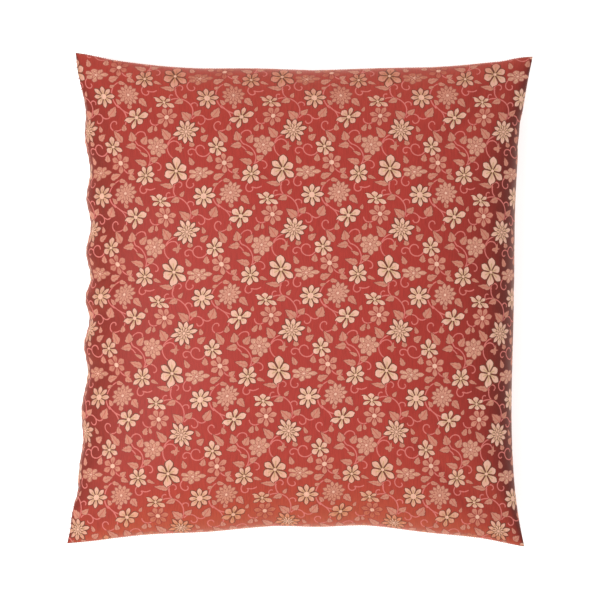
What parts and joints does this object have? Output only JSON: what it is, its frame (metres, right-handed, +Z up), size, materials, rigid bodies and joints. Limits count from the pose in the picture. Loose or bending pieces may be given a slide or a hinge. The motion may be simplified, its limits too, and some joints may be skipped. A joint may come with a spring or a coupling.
{
  "type": "zabuton floor cushion",
  "caption": "Rectangular stuffed Japanese floor cushion in floral brocade, with a broad crown, drawn-in sides, pointed corners and a flat underside to lie on a floor.",
  "frame": {"origin": "on the floor, under the middle of the cushion's outline", "axes": "+Z up out of the face, +Y along the longer side towards the head seam, +X across towards the folded side"},
  "size_m": [0.554, 0.593, 0.1094],
  "materials": {
    "brocade": "woven brocade, red ground with cream and salmon flowers and scrolls, slightly lustrous"
  },
  "bodies": {
    "root": {"cushion": "brocade"}
  },
  "joints": []
}
